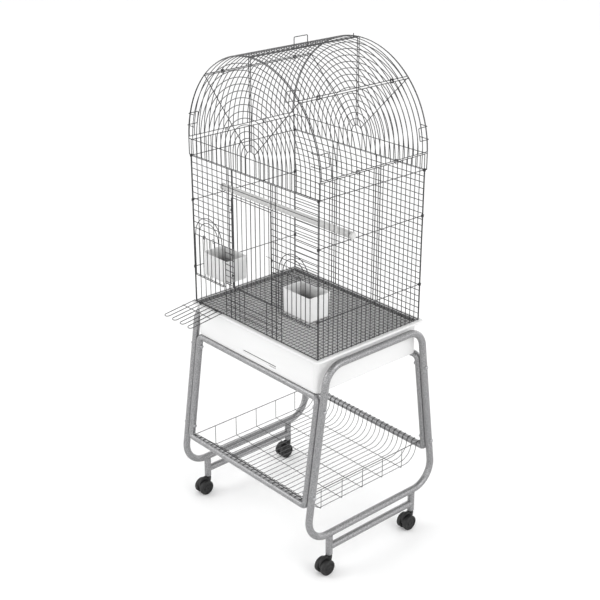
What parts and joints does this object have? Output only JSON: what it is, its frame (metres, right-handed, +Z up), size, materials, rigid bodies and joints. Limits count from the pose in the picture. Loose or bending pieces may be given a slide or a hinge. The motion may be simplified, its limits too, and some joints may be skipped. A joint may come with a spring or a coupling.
{
  "type": "bird cage on stand",
  "caption": "Dome-top wire bird cage with opening roof, front and feeder doors, perch and cups, over a plastic litter base on a rolling tube stand with a wire shelf basket.",
  "frame": {"origin": "on the floor under the middle of the object's outline, casters on z = 0", "axes": "+Z up, -Y the front with the doors, +X to the right seen from the front"},
  "size_m": [0.635, 0.61, 1.5548],
  "materials": {
    "wire": "satin grey metallic coat on steel wire",
    "stand_paint": "silver-grey hammered paint on steel tube",
    "white_plastic": "smooth white moulding",
    "black_plastic": "black nylon",
    "grey_plastic": "pale grey moulding",
    "bolt_steel": "zinc plated"
  },
  "bodies": {
    "stand": {"side_frame_left": "stand_paint", "side_frame_right": "stand_paint", "cross_frame_front": "stand_paint", "cross_frame_back": "stand_paint", "caster_rail_left": "stand_paint", "caster_rail_right": "stand_paint", "caster_post_front_left": "stand_paint", "caster_post_front_right": "stand_paint", "caster_post_back_left": "stand_paint", "caster_post_back_right": "stand_paint", "bolt_left_front_upper": "bolt_steel", "bolt_left_front_lower": "bolt_steel", "bolt_left_back_upper": "bolt_steel", "bolt_left_back_lower": "bolt_steel", "bolt_right_front_upper": "bolt_steel", "bolt_right_front_lower": "bolt_steel", "bolt_right_back_upper": "bolt_steel", "bolt_right_back_lower": "bolt_steel", "shelf_basket": "wire"},
    "base": {"base_pan": "white_plastic", "floor_grate": "wire"},
    "drawer": {"litter_drawer": "white_plastic", "drawer_front": "white_plastic"},
    "cage": {"front_wall": "wire", "back_wall": "wire", "side_wall_left": "wire", "side_wall_right": "wire", "dome_end_front": "wire", "dome_end_back": "wire", "dome_side_left": "wire", "dome_side_right": "wire", "crown_ridge": "wire", "carry_handle": "wire", "corner_clip_front_left": "wire", "corner_clip_front_right": "wire", "corner_clip_back_left": "wire", "corner_clip_back_right": "wire", "perch": "grey_plastic", "perch_nut_left": "grey_plastic", "perch_nut_right": "grey_plastic"},
    "lid_left": {"roof_lid_left": "wire"},
    "lid_right": {"roof_lid_right": "wire"},
    "door": {"main_door": "wire"},
    "feeder_left": {"feeder_door_left": "wire"},
    "feeder_right": {"feeder_door_right": "wire"},
    "flap": {"landing_flap": "wire"},
    "cup_left": {"feeder_cup_left": "white_plastic"},
    "cup_right": {"feeder_cup_right": "white_plastic"},
    "caster_front_left": {"caster_fork_front_left": "black_plastic"},
    "wheel_front_left": {"caster_wheel_front_left": "black_plastic"},
    "caster_front_right": {"caster_fork_front_right": "black_plastic"},
    "wheel_front_right": {"caster_wheel_front_right": "black_plastic"},
    "caster_back_left": {"caster_fork_back_left": "black_plastic"},
    "wheel_back_left": {"caster_wheel_back_left": "black_plastic"},
    "caster_back_right": {"caster_fork_back_right": "black_plastic"},
    "wheel_back_right": {"caster_wheel_back_right": "black_plastic"}
  },
  "joints": [
    {"name": "base_lift", "type": "slide", "parent": "stand", "child": "base", "axis": [0, 0, 1], "range_m": [0, 0.15]},
    {"name": "drawer_slide", "type": "slide", "parent": "base", "child": "drawer", "axis": [0, -1, 0], "range_m": [0, 0.36]},
    {"name": "cage_lift", "type": "slide", "parent": "base", "child": "cage", "axis": [0, 0, 1], "range_m": [0, 0.3]},
    {"name": "roof_lid_left_hinge", "type": "hinge", "parent": "cage", "child": "lid_left", "pos_m": [-0.20223, 0.02668, 1.43823], "axis": [0, -1, 0], "range_deg": [0, 115]},
    {"name": "roof_lid_right_hinge", "type": "hinge", "parent": "cage", "child": "lid_right", "pos_m": [0.20223, 0.02668, 1.43823], "axis": [0, 1, 0], "range_deg": [0, 115]},
    {"name": "main_door_hinge", "type": "hinge", "parent": "cage", "child": "door", "pos_m": [-0.0875, -0.18212, 0.8205], "axis": [0, 0, -1], "range_deg": [0, 110]},
    {"name": "feeder_door_left_slide", "type": "slide", "parent": "cage", "child": "feeder_left", "axis": [0, 0, 1], "range_m": [0, 0.1]},
    {"name": "feeder_door_right_slide", "type": "slide", "parent": "cage", "child": "feeder_right", "axis": [0, 0, 1], "range_m": [0, 0.1]},
    {"name": "landing_flap_hinge", "type": "hinge", "parent": "cage", "child": "flap", "pos_m": [0, -0.18572, 0.7205], "axis": [-1, 0, 0], "range_deg": [0, 97]},
    {"name": "feeder_cup_left_lift", "type": "slide", "parent": "cage", "child": "cup_left", "axis": [0, 0, 1], "range_m": [0, 0.06]},
    {"name": "feeder_cup_right_lift", "type": "slide", "parent": "cage", "child": "cup_right", "axis": [0, 0, 1], "range_m": [0, 0.06]},
    {"name": "caster_front_left_swivel", "type": "hinge", "parent": "stand", "child": "caster_front_left", "pos_m": [-0.297, -0.14332, 0.061], "axis": [0, 0, 1], "continuous": true},
    {"name": "caster_front_left_wheel_spin", "type": "hinge", "parent": "caster_front_left", "child": "wheel_front_left", "pos_m": [-0.297, -0.16132, 0.025], "axis": [1, 0, 0], "continuous": true},
    {"name": "caster_front_right_swivel", "type": "hinge", "parent": "stand", "child": "caster_front_right", "pos_m": [0.297, -0.14332, 0.061], "axis": [0, 0, 1], "continuous": true},
    {"name": "caster_front_right_wheel_spin", "type": "hinge", "parent": "caster_front_right", "child": "wheel_front_right", "pos_m": [0.297, -0.16132, 0.025], "axis": [1, 0, 0], "continuous": true},
    {"name": "caster_back_left_swivel", "type": "hinge", "parent": "stand", "child": "caster_back_left", "pos_m": [-0.297, 0.21268, 0.061], "axis": [0, 0, 1], "continuous": true},
    {"name": "caster_back_left_wheel_spin", "type": "hinge", "parent": "caster_back_left", "child": "wheel_back_left", "pos_m": [-0.297, 0.19468, 0.025], "axis": [1, 0, 0], "continuous": true},
    {"name": "caster_back_right_swivel", "type": "hinge", "parent": "stand", "child": "caster_back_right", "pos_m": [0.297, 0.21268, 0.061], "axis": [0, 0, 1], "continuous": true},
    {"name": "caster_back_right_wheel_spin", "type": "hinge", "parent": "caster_back_right", "child": "wheel_back_right", "pos_m": [0.297, 0.19468, 0.025], "axis": [1, 0, 0], "continuous": true}
  ]
}
